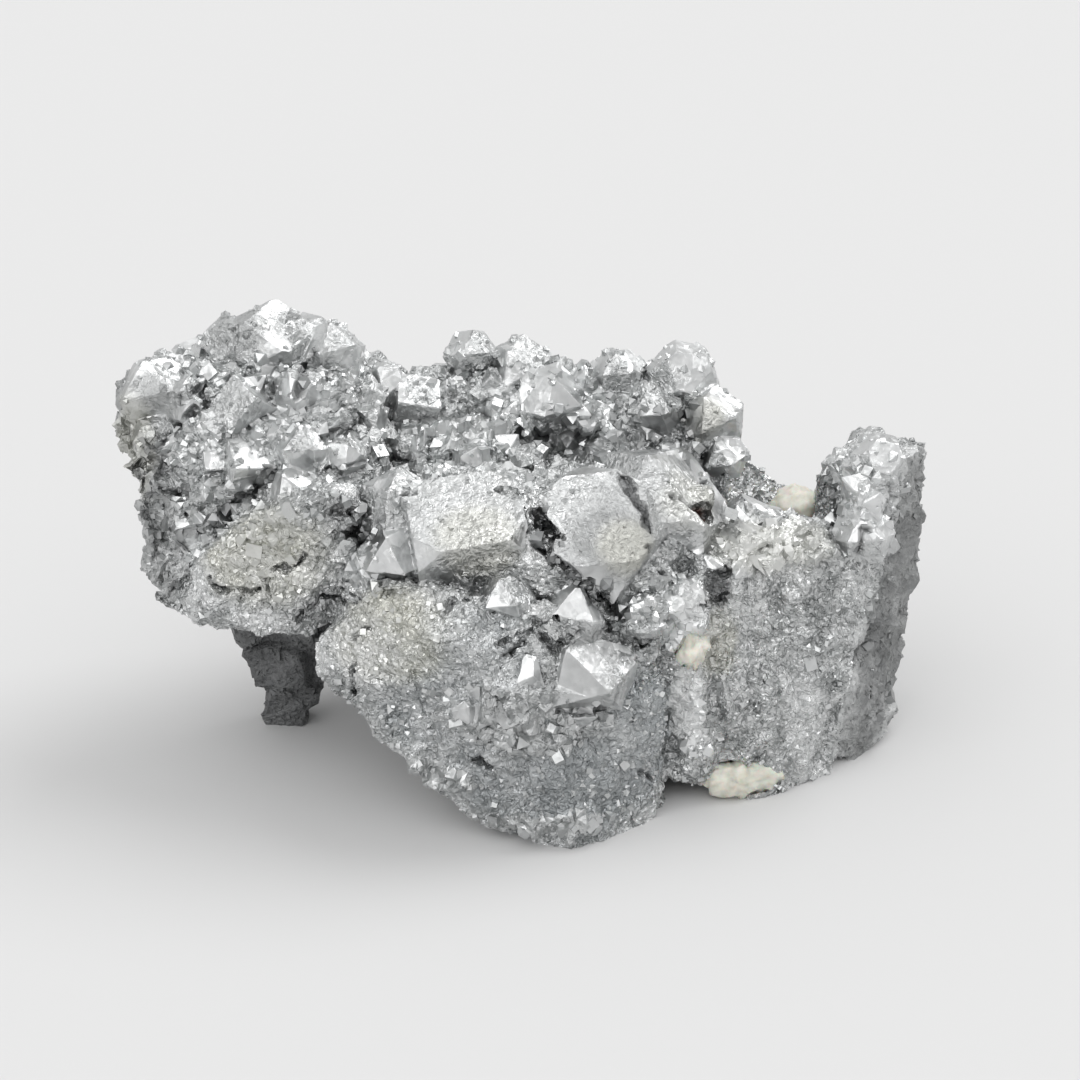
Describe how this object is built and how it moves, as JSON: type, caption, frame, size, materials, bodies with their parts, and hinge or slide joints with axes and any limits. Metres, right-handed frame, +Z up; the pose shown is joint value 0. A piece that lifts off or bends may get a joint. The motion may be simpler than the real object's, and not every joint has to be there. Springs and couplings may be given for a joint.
{
  "type": "skutterudite specimen",
  "caption": "Irregular lump of tin-white metallic ore with a crystal-covered top and back, a broken granular front and small cream calcite patches; it rests on its own feet.",
  "frame": {"origin": "on the surface the specimen rests on, under the middle of its outline seen from above", "axes": "+X along the specimen's longest side, towards its dull side wall; +Z up; -Y towards the best crystals"},
  "size_m": [0.0814, 0.0456, 0.0453],
  "materials": {
    "skutterudite": "tin-white metallic ore: mirror-bright crystal faces, granular broken faces, dull grey side",
    "calcite": "cream white, waxy, slightly translucent"
  },
  "bodies": {
    "root": {"skutterudite_mass": "skutterudite", "calcite_foot": "calcite", "calcite_nodule": "calcite", "calcite_back": "calcite"}
  },
  "joints": []
}
